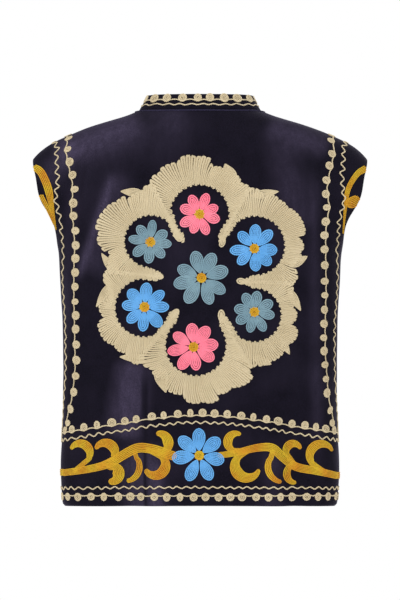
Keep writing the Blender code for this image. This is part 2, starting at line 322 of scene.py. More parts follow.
def cloth_material(name, colours, lay, grain, grain_height, finish, glow=None):
    """Cloth whose colour wanders between two over patches of lay mm, flecked with a third.

    grain is how far apart the flecks of its face are, in mm, and grain_height how high they are. A
    colour of painted highlight, if one is given, is mixed in as far as the mesh's attribute of
    painted sheen says.
    A colour mix takes its share at input 0 and its two colours at 6 and 7, and gives output 2.
    """
    material = bpy.data.materials.new(name)
    material.use_nodes = True
    shader = material.node_tree.nodes["Principled BSDF"]
    for socket, value in finish.items():
        shader.inputs[socket].default_value = value
    place = node(material, "TexCoord").outputs["Object"]
    noise_of_lay = {"Vector": place, "Scale": per_mm(lay), "Detail": 4.0, "Roughness": 0.55}
    patches = node(material, "TexNoise", noise_of_lay).outputs["Fac"]
    blend = node(material, "MapRange", {"Value": patches, "From Min": 0.35, "From Max": 0.65})
    dyes = {0: blend.outputs["Result"], 6: linear(colours[0]), 7: linear(colours[1])}
    mixed = node(material, "Mix", dyes, data_type="RGBA")
    if glow:
        # The painted highlight of each point of the cloth, broken up by brush marks that run upwards.
        share = node(material, "Attribute", attribute_name="glow").outputs["Fac"]
        upright = node(material, "Mapping", {"Vector": place, "Scale": (1, 1, 0.3)}).outputs["Vector"]
        noise_of_marks = {"Vector": upright, "Scale": per_mm(BRUSH_MARK), "Detail": 5.0}
        marks = node(material, "TexNoise", noise_of_marks).outputs["Fac"]
        spread = {"Value": marks, "From Min": 0.3, "From Max": 0.7, "To Min": 0.75, "To Max": 1.2}
        uneven = node(material, "MapRange", spread).outputs["Result"]
        patchy = node(material, "Math", {0: share, 1: uneven}, operation="MULTIPLY")
        lit = {0: patchy.outputs["Value"], 6: mixed.outputs[2], 7: linear(glow)}
        mixed = node(material, "Mix", lit, data_type="RGBA")
    noise_of_grain = {"Vector": place, "Scale": per_mm(grain), "Detail": 2.0}
    speckle = node(material, "TexNoise", noise_of_grain).outputs["Fac"]
    tips = {"Value": speckle, "From Min": 0.3, "From Max": 0.75, "To Max": 0.6}
    fleck = node(material, "MapRange", tips).outputs["Result"]
    flecked = {0: fleck, 6: mixed.outputs[2], 7: linear(colours[2])}
    grained = node(material, "Mix", flecked, data_type="RGBA")
    relief = {"Height": speckle, "Strength": 1.0, "Distance": grain_height * MM}
    bump = node(material, "Bump", relief)
    links = material.node_tree.links
    links.new(grained.outputs[2], shader.inputs["Base Color"])
    links.new(bump.outputs["Normal"], shader.inputs["Normal"])
    return material


# Cotton velvet: its short upright pile swallows light face on and has a violet sheen where it is seen
# edge on, and a violet highlight is painted into its colour along its folds and shoulders. The pile
# is drawn coarser than it is, to show.
VELVET = cloth_material(
    "navy_cotton_velvet", ("#0D0B13", "#14111B", "#1B1826"), lay=30, grain=1.5, grain_height=0.3,
    finish={
        "Roughness": 0.95,
        "Specular IOR Level": 0.06,
        "Sheen Weight": 0.22,
        "Sheen Roughness": 0.3,
        "Sheen Tint": linear("#8A82A6"),
    },
    # The colour of the painted highlight, mixed in along the folds and shoulders.
    glow="#554C66",
)
# The velvet's reverse, a plain dark cotton ground with no pile, which shows only inside.
REVERSE = cloth_material(
    "plain_cotton_back_of_the_velvet", ("#16141E", "#1B1824", "#24202E"),
    lay=60, grain=0.9, grain_height=0.15, finish={"Roughness": 0.9, "Specular IOR Level": 0.15},
)


def new_object(name, data):
    """An object of this mesh, curve, light or camera, in the scene."""
    made = bpy.data.objects.new(name, data)
    bpy.context.scene.collection.objects.link(made)
    return made


def velvet_piece(name, sheet, thickness, easing, solid):
    """Finishes a sheet of points as velvet of this thickness, inside it, with eased edges."""
    sheet.normal_update()
    first = next(iter(sheet.faces))
    from_middle = first.calc_center_median() * Vector((1, 1, 0))
    if first.normal.dot(from_middle) < 0:
        bmesh.ops.reverse_faces(sheet, faces=sheet.faces)
    for face in sheet.faces:
        face.smooth = True
    mesh = bpy.data.meshes.new(name)
    sheet.to_mesh(mesh)
    sheet.free()
    mesh.materials.append(VELVET)
    mesh.materials.append(REVERSE)
    piece = new_object(name, mesh)
    wall = piece.modifiers.new("thickness", "SOLIDIFY")
    wall.thickness = thickness * MM
    wall.offset = -1.0
    wall.material_offset = 1
    ease = piece.modifiers.new("eased edges", "BEVEL")
    ease.width = easing * MM
    ease.segments = 2
    ease.limit_method = "ANGLE"
    ease.angle_limit = math.radians(60)
    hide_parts(solid)
    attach(piece, "root")
    return piece


def velvet_panel(name, columns, turn_of, solid, side=1):
    """A panel of the body: a fine grid laid on the figure from hem to neck. side -1 mirrors it."""
    sheet = bmesh.new()
    rows = len(PANEL_SHARES) - 1
    bmesh.ops.create_grid(sheet, x_segments=columns, y_segments=rows, size=1.0)
    # Each point's share of painted highlight: the lines of painted sheen and shade, with lighter
    # patches where the pile is brushed unevenly.
    glow = sheet.verts.layers.float.new("glow")
    for vert in sheet.verts:
        share = PANEL_SHARES[round((vert.co.y + 1) / 2 * rows)]
        turn = side * turn_of(vert.co.x, share)
        point = cloth_point(turn, share)
        brushed = PILE_UNEVENNESS * noise.noise(point / PILE_PATCH)
        vert[glow] = max(0.0, fold_depth(point, turn, PAINTED_SHEEN_AND_SHADE) + brushed)
        vert.co = point * MM
    return velvet_piece(name, sheet, CLOTH_THICKNESS, EDGE_EASING, solid)


back = velvet_panel("back_velvet", BACK_COLUMNS, back_turn, "back")

# The two fronts: each one piece of the same velvet, sewn to the back at its side and shoulder. At
# the centre front they meet edge to edge and aren't fastened.
ARMHOLE_FRONT_REACH = 32.0
FRONT_COLUMNS = 74


def front_turn(across, share):
    """The turn of a column of the left front, from -1 at its side edge to 1 at the centre."""
    inwards = (across + 1) / 2
    seam = math.degrees(SEAM_GAP / 2 / size_at(share, "front_y"))
    armhole = ARMHOLE_FRONT_REACH * armhole_bulge(share) * (1 - inwards) ** 2
    opening = math.degrees(FRONT_EDGE_GAP / 2 / size_at(share, "side_x"))
    start = 90 + seam + armhole
    return start + inwards * (180 - opening - start)


fronts = []
for solid, side in (("front_left", 1), ("front_right", -1)):
    front = velvet_panel(solid + "_velvet", FRONT_COLUMNS, front_turn, solid, side)
    fronts.append(front)

# The stand collar: one strip of the velvet sewn on round the neck, folded over a stiffening so
# that its top edge is round, with its two ends curved off at the centre front.
COLLAR_THICKNESS = 2.6
COLLAR_EASING = 1.0
COLLAR_LEAN = {"side": 11.0, "back": 6.0, "front": 7.0}
COLLAR_RISE = {"side": 20.0, "back": 20.5, "front": 20.0}
COLLAR_LEAN_CURVE = 0.15
# At the neck seam the collar all but meets the panels, as it is sewn on.
COLLAR_SEAT_GAP = 0.06
COLLAR_END_ROUNDING = 9.0
COLLAR_COLUMNS = 190
COLLAR_ROWS = 8


def collar_point(turn, rise):
    """A point on the outside of the collar, from rise 0 at the neck seam to 1 at its top."""
    across, back = math.sin(math.radians(turn)), math.cos(math.radians(turn))
    middle = "back" if back > 0 else "front"
    lean_share = rise * (1 + COLLAR_LEAN_CURVE * (1 - rise))
    height = COLLAR_RISE["side"] + (COLLAR_RISE[middle] - COLLAR_RISE["side"]) * back * back
    x = -COLLAR_LEAN["side"] * across * lean_share
    y = -COLLAR_LEAN[middle] * back * lean_share
    return figure_point(turn, 1.0) + Vector((x, y, COLLAR_SEAT_GAP + height * rise))


def collar_top(turn):
    """How much of its full height the collar has at this turn: its ends are rounded off."""
    from_front = math.radians(180 - abs(turn)) * size_at(1.0, "side_x")
    missing = COLLAR_END_ROUNDING - max(0.0, from_front - FRONT_EDGE_GAP / 2)
    if missing <= 0:
        return 1.0
    drop = COLLAR_END_ROUNDING - math.sqrt(COLLAR_END_ROUNDING**2 - missing**2)
    return 1 - drop / COLLAR_RISE["front"]


collar_end = 180 - math.degrees(FRONT_EDGE_GAP / 2 / size_at(1.0, "side_x"))
strip = bmesh.new()
bmesh.ops.create_grid(strip, x_segments=COLLAR_COLUMNS, y_segments=COLLAR_ROWS, size=1.0)
for vert in strip.verts:
    turn = vert.co.x * collar_end
    vert.co = collar_point(turn, (vert.co.y + 1) / 2 * collar_top(turn)) * MM
collar = velvet_piece("collar_velvet", strip, COLLAR_THICKNESS, COLLAR_EASING, "collar")

# The threads: matt cotton in cream, pink, slate, light blue and mixed golds, worked all over in
# rows of chain stitch. A row is a raised cord of links, each link pinched where the next begins.
# Links, rows and the grain of the thread are drawn a little coarser than they are, to show.
LINK = 2.6
ROW_WIDTH = 2.2
PINCH = 0.8
LIFT = 0.25
VIEW_DISTANCE = 300.0


def thread(name, colours, patch=40):
    """Dyed cotton thread: its colour wanders a little from length to length."""
    finish = {"Roughness": 0.85, "Specular IOR Level": 0.2}
    return cloth_material(name, colours, lay=patch, grain=0.9, grain_height=0.12, finish=finish)


CREAM = thread("cream_cotton_thread", ("#BCAB88", "#CBBB99", "#D3C5A6"), 45)
PINK = thread("pink_cotton_thread", ("#F4708A", "#FB8499", "#F797A8"))
SLATE = thread("slate_cotton_thread", ("#6B8A99", "#7B98A5", "#8AA5AF"))
BLUE = thread("light_blue_cotton_thread", ("#5098D4", "#62A6E0", "#7CB8EA"))
GOLD = thread("mixed_gold_cotton_thread", ("#C67A1C", "#CDB02A", "#D0A02E"), 30)


def skin_of(*panels):
    """The outsides of these panels together, to search for points of the velvet."""
    skin = bmesh.new()
    for panel in panels:
        skin.from_mesh(panel.data)
    tree = BVHTree.FromBMesh(skin)
    skin.free()
    return tree


back_tree = skin_of(back)
fronts_tree = skin_of(*fronts)
body_tree = skin_of(back, *fronts)


def on_face(across, up, tree, side):
    """The point of the velvet seen here from the back (side 1) or front (-1), if there is one."""
    start = Vector((across * MM, VIEW_DISTANCE * MM * side, up * MM))
    place = tree.ray_cast(start, Vector((0, -side, 0)))[0]
    return place / MM if place else None


def on_back(across, up):
    """A point of the back as it is seen from behind, in millimetres."""
    return on_face(across, up, back_tree, 1)


def on_front(across, up):
    """A point of the fronts as they are seen from in front, in millimetres."""
    return on_face(across, up, fronts_tree, -1)


def even_steps(points, step, closed):
    """The points of a path again, moved along it so that they are all about one step apart."""
    path = points + [points[0]] if closed else points
    lengths = [0.0]
    for a, b in zip(path, path[1:]):
        lengths.append(lengths[-1] + (b - a).length)
    count = max(2, round(lengths[-1] / step))
    if closed:
        count += count % 2
    stepped, at = [], 0
    for i in range(count if closed else count + 1):
        wanted = lengths[-1] * i / count
        while at < len(lengths) - 2 and lengths[at + 1] < wanted:
            at += 1
        span = lengths[at + 1] - lengths[at]
        t = (wanted - lengths[at]) / span if span > 0 else 0.0
        stepped.append(path[at].lerp(path[at + 1], t))
    return stepped


Row = namedtuple("Row", "points closed")


def worked(points, width, closed=False):
    """A row through these points. width is one number in millimetres, or one for each point."""
    widths = width if isinstance(width, list) else [width] * len(points)
    return Row([Vector((*point, wide)) for point, wide in zip(points, widths)], closed)


def embroider(name, rows, material, tree=body_tree, pinch=PINCH):
    """Works rows of chain stitch on the velvet as one piece. Their points are in millimetres."""
    curve = bpy.data.curves.new(name, "CURVE")
    curve.dimensions = "3D"
    # With this depth a point's radius is the width of the row there, in millimetres.
    curve.bevel_depth = 0.5 * MM
    curve.bevel_resolution = 1
    curve.use_fill_caps = True
    for row in rows:
        places, sizes = [], []
        for i, point in enumerate(even_steps(row.points, LINK / 2, row.closed)):
            spot, normal, _, _ = tree.find_nearest(point.xyz * MM)
            place = spot + normal * LIFT * MM
            places.extend((place.x, place.y, place.z, 1.0))
            sizes.append(point.w * (1.0 if i % 2 else pinch))
        spline = curve.splines.new("POLY")
        spline.points.add(len(sizes) - 1)
        spline.points.foreach_set("co", places)
        spline.points.foreach_set("radius", sizes)
        spline.use_cyclic_u = row.closed
        spline.use_smooth = True
    curve.materials.append(material)
    piece = new_object(name, curve)
    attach(piece, "root")
    return piece


def between(before, a, b, after, t):
    """A number on the way from a to b, as a smooth curve through all four has it."""
    bend = (before * 2 - a * 5 + b * 4 - after) / 2
    twist = (a * 3 - before - b * 3 + after) / 2
    return a + (b - before) / 2 * t + bend * t * t + twist * t**3


def through(knots, steps):
    """A smooth curve through a few knots, each a tuple of numbers, with steps between two."""
    curve = []
    for i in range(len(knots) - 1):
        four = knots[max(0, i - 1)], knots[i], knots[i + 1], knots[min(len(knots) - 1, i + 2)]
        for step in range(steps):
            curve.append(tuple(between(*numbers, step / steps) for numbers in zip(*four)))
    curve.append(tuple(knots[-1]))
    return curve


# The borders: strings of small spiral dots, and thin zigzag lines beside them, all in cream cotton
# worked by hand. They frame each panel and run on over the shoulders and round the sides.
DOT_WIDTH = 11.6
DOT_ROW_WIDTH = 2.1
STRING_WIDTH = 1.9
STRING_DIP = 1.0
WAVE_WIDTH = 2.0
BORDER_STEP = 3.0
SPIRAL_STEPS = 34
SIDE_GAIN = 0.5
MOST_STRETCH = 1.35
# By how much the hand varies: shares of a size, and how many millimetres a dot strays.
DOT_SPACINGS = (0.88, 1.1)
DOT_STRAY = 0.4
DOT_SIZES = (0.94, 1.06)
DOT_LENGTHS = (0.72, 0.88, 0.96, 1.0, 1.06)
WAVE_SIZES = (0.75, 1.2)
dice = random.Random(7)


class Route:
    """A line on the velvet, with the frame of the cloth at any length along it."""

    def __init__(self, places, point_at=cloth_point, tree=body_tree):
        self.tree = tree
        self.points = even_steps([point_at(*place) for place in places], BORDER_STEP, False)
        self.length = sum((b - a).length for a, b in zip(self.points, self.points[1:]))

    def at(self, along, aside=0.0):
        """The point this far along the line and this far to its left, seen from outside."""
        place = max(0.0, min(1.0, along / self.length)) * (len(self.points) - 1)
        i = min(int(place), len(self.points) - 2)
        point = self.points[i].lerp(self.points[i + 1], place - i)
        ahead = (self.points[i + 1] - self.points[i]).normalized()
        normal = self.tree.find_nearest(point * MM)[1]
        return point + normal.cross(ahead).normalized() * aside, ahead, normal


def stretch(direction):
    """How much longer the border is worked along a direction that turns away from behind."""
    return min(MOST_STRETCH, 1 / math.sqrt(1 - min(0.9, direction.y**2)))


def spiral(size, row_width, start):
    """The flat places of a filled round, wound in one row from its edge to its middle."""
    reach = size - row_width / 2
    inner_turns = reach / row_width * 1.1
    places = []
    for step in range(SPIRAL_STEPS + 1):
        turned = (1 + inner_turns) * step / SPIRAL_STEPS
        angle = start + turned * math.tau
        radius = reach * (1 - max(0.0, turned - 1) / inner_turns)
        places.append((math.cos(angle) * radius, math.sin(angle) * radius))
    return places


def dotted_string(route, spacing, aside, dot_width=DOT_WIDTH):
    """Spiral dots along one side of a thin row that bows out round each of them."""
    centres, along = [], spacing / 2
    while along < route.length:
        centres.append(along)
        along += spacing * stretch(route.at(along)[1]) * dice.uniform(*DOT_SPACINGS)
    points, side = [], math.copysign(1, aside)
    for i in range(int(route.length / BORDER_STEP) + 1):
        along = BORDER_STEP * i
        nearest = min(abs(along - centre) for centre in centres)
        bow = math.cos(math.tau * min(0.5, nearest / spacing))
        points.append(route.at(along, -side * STRING_DIP * bow)[0])
    rows = [worked(points, STRING_WIDTH)]
    for along in centres:
        centre, ahead, normal = route.at(along, aside + dice.uniform(-DOT_STRAY, DOT_STRAY))
        left = normal.cross(ahead).normalized()
        size = dot_width / 2 * dice.uniform(*DOT_SIZES)
        wide, tall = stretch(ahead) * dice.choice(DOT_LENGTHS), stretch(left)
        flat = spiral(size, DOT_ROW_WIDTH, dice.uniform(0, math.tau))
        wound = [centre + ahead * x * wide + left * y * tall for x, y in flat]
        rows.append(worked(wound, DOT_ROW_WIDTH * tall))
    return rows


def zigzag(route, length, depth):
    """A thin wavy row, its waves a little uneven and deeper where the cloth faces sideways."""
    points, along, side = [], 0.0, 1
    while along < route.length:
        _, ahead, normal = route.at(along)
        swing = depth * (1 + SIDE_GAIN * abs(normal.x)) * dice.uniform(*WAVE_SIZES)
        points.append(route.at(along, side * swing)[0])
        along += length / 2 * stretch(ahead) * dice.uniform(*WAVE_SIZES)
        side = -side
    softened = []
    for a, b in zip(points, points[1:]):
        for t in (0.14, 0.5, 0.86):
            softened.append(a.lerp(b, t))
    return worked(softened, WAVE_WIDTH)


# A line round the hem: its share at the sides, and how far it rises at the centre back and front.
HemLine = namedtuple("HemLine", "share rise")
UPPER_DOTS, UPPER_WAVE = HemLine(0.192, 0.039), HemLine(0.175, 0.040)
LOWER_WAVE, LOWER_DOTS = HemLine(0.049, 0.0), HemLine(0.031, -0.003)
HEM_TURNS = range(177, -180, -3)


def round_the_hem(line):
    """The route of a line round the hem, from one front edge to the other."""
    rises = [line.rise * math.cos(math.radians(turn)) ** 4 for turn in HEM_TURNS]
    return Route([(turn, line.share + rise) for turn, rise in zip(HEM_TURNS, rises)])


# The side lines run from the hem up beside the armhole, over the shoulder and down the front. Each
# place is a turn and a share, from the hem to the top of the shoulder.
SIDE_DOTS_UP = [
    (64, 0.200), (63.5, 0.233), (59.5, 0.263), (57, 0.300), (54.5, 0.380), (54.5, 0.470),
    (53.5, 0.560), (50.5, 0.616), (43.5, 0.684), (43, 0.716), (45.5, 0.756), (49.5, 0.792),
    (55, 0.819), (63, 0.847), (77, 0.868), (90, 0.872),
]
SIDE_WAVE_UP = [
    (82, 0.178), (78, 0.230), (72, 0.280), (68, 0.330), (67, 0.434), (69, 0.500), (65, 0.569),
    (62, 0.603), (55.5, 0.640), (50, 0.700), (50.5, 0.745), (55, 0.790), (62, 0.823),
    (71, 0.840), (81, 0.848), (90, 0.850),
]


def over_the_shoulder(half, side):
    """The route of a side line up the back and, at the same shares, down the front."""
    whole = half + [(180 - turn, share) for turn, share in half[-2::-1]]
    return Route(through([(side * turn, share) for turn, share in whole], 4))


hem_rows = dotted_string(round_the_hem(UPPER_DOTS), spacing=17.5, aside=3.6)
hem_rows.append(zigzag(round_the_hem(UPPER_WAVE), length=12, depth=1.9))
hem_rows.append(zigzag(round_the_hem(LOWER_WAVE), length=12, depth=1.7))
hem_rows += dotted_string(round_the_hem(LOWER_DOTS), spacing=17.5, aside=-2.2)
embroider("hem_borders", hem_rows, CREAM)
side_rows = []
for side in (1, -1):
    dots_line = over_the_shoulder(SIDE_DOTS_UP, side)
    side_rows += dotted_string(dots_line, spacing=19.6, aside=-3.0 * side)
    side_rows.append(zigzag(over_the_shoulder(SIDE_WAVE_UP, side), length=13.6, depth=3.2))
embroider("side_borders", side_rows, CREAM)

# The collar's own border, in the same cream cotton: dots along its top edge on a wavy string, and
# a thin wave below them. Both stop just short of the collar's ends.
COLLAR_DOTS_RISE = 0.59
COLLAR_WAVE_RISE = 0.30
COLLAR_LINE_STEP = 3
collar_tree = skin_of(collar)
line_end = collar_end - 2
line_steps = int(2 * line_end / COLLAR_LINE_STEP)
collar_turns = [line_end - COLLAR_LINE_STEP * i for i in range(line_steps + 1)]
dots_line = Route([(turn, COLLAR_DOTS_RISE) for turn in collar_turns], collar_point, collar_tree)
wave_line = Route([(turn, COLLAR_WAVE_RISE) for turn in collar_turns], collar_point, collar_tree)
collar_rows = dotted_string(dots_line, spacing=18.5, aside=3.4, dot_width=12.4)
collar_rows.append(zigzag(wave_line, length=16, depth=1.1))
embroider("collar_lines", collar_rows, CREAM, collar_tree)

# The neck seam: its turning shows as a narrow welt just under the collar, painted lighter than the
# velvet as a highlight where it catches the light.
WELT_WIDTH = 1.7
WELT_SHARE = 0.991
# The welt's velvet: the same cloth with a painted highlight in its colour.
WELT_PAINTED_HIGHLIGHT = cloth_material(
    "navy_cotton_velvet_painted_highlight_at_the_seam", ("#272438", "#302C42", "#38344C"),
    lay=30, grain=1.5, grain_height=0.3, finish={"Roughness": 0.95, "Specular IOR Level": 0.06},
)
welt = Route([(turn, WELT_SHARE) for turn in collar_turns])
embroider("neck_welt", [worked(welt.points, WELT_WIDTH)], WELT_PAINTED_HIGHLIGHT, pinch=1.0)

# The flowers: seven daisies in the middle of the back and one on the hem band, in pink, slate and
# light blue cotton. Each petal is filled by rows that follow its outline, and the gold centres are
# wound from outside in.
# On the back a place is so far across, to the left as it is seen, and so far up from the neck.
Flower = namedtuple("Flower", "name across up size petals first_petal thread")
FLOWERS = [
    Flower("middle", -2, -229.5, 37.5, 8, 18, "slate"),
    Flower("top", 0.5, -145, 29, 8, 25, "pink"),
    Flower("upper_right", -72, -190.5, 32.5, 8, 1, "blue"),
    Flower("lower_right", -72, -274.5, 29.5, 8, -12, "slate"),
    Flower("bottom", 8.5, -321, 34, 8, 8, "pink"),
    Flower("lower_left", 73.5, -268, 33, 8, -3, "blue"),
    Flower("upper_left", 65.5, -182, 28.5, 8, -8, "slate"),
    Flower("hem", 1, -464.5, 36.5, 7, 36, "blue"),
]
THREADS = {"pink": PINK, "slate": SLATE, "blue": BLUE}
CENTRE_RADIUS = 7.3
PETAL_BASE = 0.16
PETAL_WIDTH = 0.48
PETAL_PITCH = 2.2
ROW_PITCH = 2.05
OVERLAP = 1.02
LOOP_STEPS = 30
# By how much the hand varies: degrees that a petal leans, and shares of its size.
PETAL_LEAN = 5
PETAL_LENGTHS = (0.92, 1.05)
PETAL_WIDTHS = (0.92, 1.08)
CENTRE_SIZES = (0.94, 1.08)


def loop_rows(root, tip, width, pitch, pointed=False):
    """Rows that fill a petal or leaf, each following its outline inside the one before.

    A petal is round and widest near its tip, and a pointed leaf is widest near its root.
    """
    length = (tip - root).length
    ahead = (tip - root) / length
    left = Vector((-ahead.y, ahead.x))
    count = max(1, round(width / 2 / pitch))
    pitch = width / 2 / count
    rows = []
    for k in range(count):
        inset = (k + 0.5) * pitch
        half, run = width / 2 - inset, length - 2 * inset
        points = []
        for step in range(LOOP_STEPS):
            angle = math.tau * step / LOOP_STEPS
            along = (1 - math.cos(angle)) / 2
            belly = math.sin(math.pi * along ** (0.8 if pointed else 1.4))
            side = half * belly ** (1.0 if pointed else 0.5) * (1 if angle < math.pi else -1)
            place = root + ahead * (inset + run * along) + left * side
            points.append(on_back(place.x, place.y))
        rows.append(worked(points, pitch * OVERLAP, True))
    return rows


petal_dice = random.Random(11)
petal_rows = {colour: [] for colour in THREADS}
centre_rows = []
for flower in FLOWERS:
    centre = Vector((flower.across, flower.up))
    for petal in range(flower.petals):
        lean = petal_dice.uniform(-PETAL_LEAN, PETAL_LEAN)
        angle = math.radians(flower.first_petal + 360 / flower.petals * petal + lean)
        away = Vector((-math.cos(angle), math.sin(angle)))
        reach = flower.size * petal_dice.uniform(*PETAL_LENGTHS)
        width = flower.size * PETAL_WIDTH * petal_dice.uniform(*PETAL_WIDTHS)
        petal_rows[flower.thread] += loop_rows(
            centre + away * flower.size * PETAL_BASE, centre + away * reach, width, PETAL_PITCH
        )
    flat = spiral(CENTRE_RADIUS * petal_dice.uniform(*CENTRE_SIZES), ROW_WIDTH, 0)
    wound = [on_back(flower.across + x, flower.up + y) for x, y in flat]
    centre_rows.append(worked(wound, ROW_WIDTH))
for colour, rows in petal_rows.items():
    embroider(colour + "_petals", rows, THREADS[colour])
embroider("flower_centres", centre_rows, GOLD)

# The wreath: a broad band of cream cotton that arches round the six outer flowers, with a spur
# between each two. Its rows run across the band, to and fro, so both its edges are scalloped, and
# leaves and round lobes grow from its outer edge.
WREATH_PITCH = 2.35
WREATH_OVERLAP = 1.15
BAND_MIDDLE = 12.0
SCALLOP = 8.0
SCALLOP_DEPTH = 3.0
SPUR_REACH = 53.0
SPUR_ROUNDING = 3.0
SPUR_HALF_WIDTH = 4.4
SPUR_WIDENING = 0.32
MEETING = 2.2
LEAST_ROW = 5.5
SLANT = 0.07
STROKE_STEP = 0.5
STROKE_STRAY = 0.4
STROKE_PLACES = (0.0, 0.33, 0.67, 1.0)
wreath_middle = Vector((-0.7, -229.5))
BAND_REACH, BAND_REACH_UP = 123.0, 139.0
# The clear round that the wreath leaves for each flower. Where two rings meet, the one with more
# room reaches further.
Ring = namedtuple("Ring", "name across up clear room")
RINGS = [
    Ring("top", 0.5, -145, 41.5, 2),
    Ring("upper right", -73.5, -186.5, 41.5, 4),
    Ring("lower right", -72, -278.5, 38, 0),
    Ring("bottom", 5.5, -319, 42.5, 10),
    Ring("lower left", 74, -269, 41, 1),
    Ring("upper left", 65.5, -181, 37, 2),
]
# How far each round lobe of the outer edge reaches, seen from the middle flower. Angles run
# anticlockwise from the right, as the back is seen.
Lobe = namedtuple("Lobe", "angle reach half_width")
LOBES = [
    Lobe(2, 128, 4.5), Lobe(13, 136, 3.5), Lobe(19, 143, 4), Lobe(30.5, 154, 7.5), Lobe(41, 149, 4.5),
    Lobe(47, 147, 4), Lobe(56, 139, 5), Lobe(64, 137, 4.5), Lobe(73, 145, 5), Lobe(81, 149, 4.5),
    Lobe(89, 161, 4.4), Lobe(96, 163, 4.4), Lobe(105, 156, 6), Lobe(113, 149, 4.5),
    Lobe(121, 141, 4), Lobe(130, 142, 5), Lobe(137, 150, 4.5), Lobe(147, 156, 8.5),
    Lobe(157, 146, 4.5), Lobe(161, 138, 3), Lobe(180, 128, 5), Lobe(198, 140, 5),
    Lobe(210, 151, 7), Lobe(220, 145, 4.5), Lobe(230, 143, 5.5), Lobe(239, 138, 4),
    Lobe(247, 143, 4.5), Lobe(258, 156, 6.5), Lobe(267, 165, 4.6), Lobe(274, 165, 4.6),
    Lobe(281, 155, 4.5), Lobe(291, 152, 6.5), Lobe(301, 137, 4), Lobe(308, 143, 4.5),
    Lobe(316, 147, 7), Lobe(327.5, 148.5, 5), Lobe(337, 137, 4.5), Lobe(345, 129, 5),
]
LOBE_FLATNESS = 0.75
LOBE_DROP = 6.5


def wreath_reach(direction):
    """How far the wreath reaches from the middle flower in this direction."""
    angle = math.degrees(math.atan2(direction.y, -direction.x)) % 360
    up = abs(direction.normalized().y)
    reach = BAND_REACH + (BAND_REACH_UP - BAND_REACH) * up * up
    for lobe in LOBES:
        off = ((angle - lobe.angle + 180) % 360 - 180) / lobe.half_width
        if abs(off) < 1:
            half_width = lobe.reach * math.radians(lobe.half_width)
            drop = min(LOBE_DROP, half_width * LOBE_FLATNESS)
            reach = max(reach, lobe.reach - drop * (1 - math.sqrt(1 - off * off)))
    return reach


def heading(angle):
    """The direction at this angle on the flat, in radians."""
    return Vector((math.cos(angle), math.sin(angle)))


def stroke_end(ring, centre, direction):
    """How far from its ring's centre a row meets the wreath's edge or a neighbour's rows."""
    reach = ring.clear
    while True:
        place = centre + direction * reach
        if (place - wreath_middle).length > wreath_reach(place - wreath_middle):
            return reach
        for other in RINGS:
            away = (place - Vector((other.across, other.up))).length
            if other is not ring and away - other.room < reach - ring.room - MEETING:
                return reach
        reach += STROKE_STEP


def spur_half_width(place):
    """How wide one side of a spur may be here: it narrows towards the middle flower."""
    inside = (place - wreath_middle).length - SPUR_REACH
    rounding = math.sqrt(max(0.0, min(1.0, inside / SPUR_ROUNDING)))
    return (SPUR_HALF_WIDTH + SPUR_WIDENING * max(0.0, inside)) * rounding


wreath_rows = []
for ring in RINGS:
    centre = Vector((ring.across, ring.up))
    outwards = centre - wreath_middle
    middle_angle = math.atan2(outwards.y, outwards.x)
    count = round(math.tau * (ring.clear + BAND_MIDDLE) / WREATH_PITCH)
    fan = math.tau / count
    places, widths = [], []
    for k in range(count):
        angle = fan * (k + 0.5) - math.pi
        slant = SLANT * math.sin(2 * angle + middle_angle)
        direction = heading(middle_angle + angle + slant)
        reach = stroke_end(ring, centre, direction)
        end = centre + direction * reach
        if (end - wreath_middle).length < SPUR_REACH:
            continue
        scallop = SCALLOP_DEPTH * abs(math.sin(math.pi * angle * ring.clear / SCALLOP))
        start = min(ring.clear, reach - LEAST_ROW) - scallop
        if abs(angle) > math.pi / 2:
            start = max(start, reach - spur_half_width(end) - scallop / 2)
        reach += dice.uniform(-STROKE_STRAY, STROKE_STRAY)
        for t in STROKE_PLACES if k % 2 else STROKE_PLACES[::-1]:
            away = start + (reach - start) * t
            place = centre + heading(middle_angle + angle + slant * t * t) * away
            places.append(on_back(place.x, place.y))
            widths.append(fan * away * WREATH_OVERLAP)
    wreath_rows.append(worked(places, widths))

# The leaves that point out from the wreath, each from its root to its tip.
Leaf = namedtuple("Leaf", "root_across root_up tip_across tip_up width")
LEAVES = [
    Leaf(74, -117, 106, -114, 12), Leaf(-44, -106, -33, -77, 20), Leaf(-68, -121, -105, -114, 12),
    Leaf(113, -223, 131, -196, 11), Leaf(118, -235, 138, -268, 11), Leaf(72, -336, 107, -334, 12),
    Leaf(56, -343, 45, -382, 19), Leaf(-118, -214, -143, -200, 13),
    Leaf(-117, -243, -134, -273, 12), Leaf(-107, -309, -119, -331, 10),
    Leaf(-70, -335, -95, -344, 12),
]
# Round ones: two where leaves fork from the left of the band, and the tips of the six spurs.
ROUND_ENDS = [
    Leaf(108, -224, 119, -202, 11), Leaf(116, -240, 125, -270, 13),
    Leaf(-64, -235, -48, -233, 9), Leaf(-29, -291, -28, -271, 10), Leaf(40, -283, 28, -271, 9),
    Leaf(64, -224, 48, -229, 9), Leaf(36, -169, 24, -181, 8.5), Leaf(-33, -175, -27, -189, 8.5),
]
for leaf in LEAVES + ROUND_ENDS:
    root, tip = Vector((leaf.root_across, leaf.root_up)), Vector((leaf.tip_across, leaf.tip_up))
    wreath_rows += loop_rows(root, tip, leaf.width, ROW_PITCH, pointed=leaf in LEAVES)
embroider("cream_wreath", wreath_rows, CREAM, pinch=0.88)

# The scrolls: stems with curling limbs in mixed gold cotton, filled with rows that run along each
# limb. One runs to each side of the hem flower, and short ones curl on the shoulder caps. Their
# places are measured from that flower, and those of the caps from the neck.
Limb = namedtuple("Limb", "knots root_width middle_width tip_width")
LEFT_STEM = Limb(
    [(183.5, -24), (150, -19), (120, -11), (98, 2), (80, 10), (60, 8), (42, 2), (30, -2)], 9, 13, 12
)
RIGHT_STEM = Limb(
    [(-24, 0), (-46, 3), (-76, 10), (-96, 10), (-110, -2), (-128, -15), (-156, -21), (-185.5, -28)],
    8, 12, 9,
)
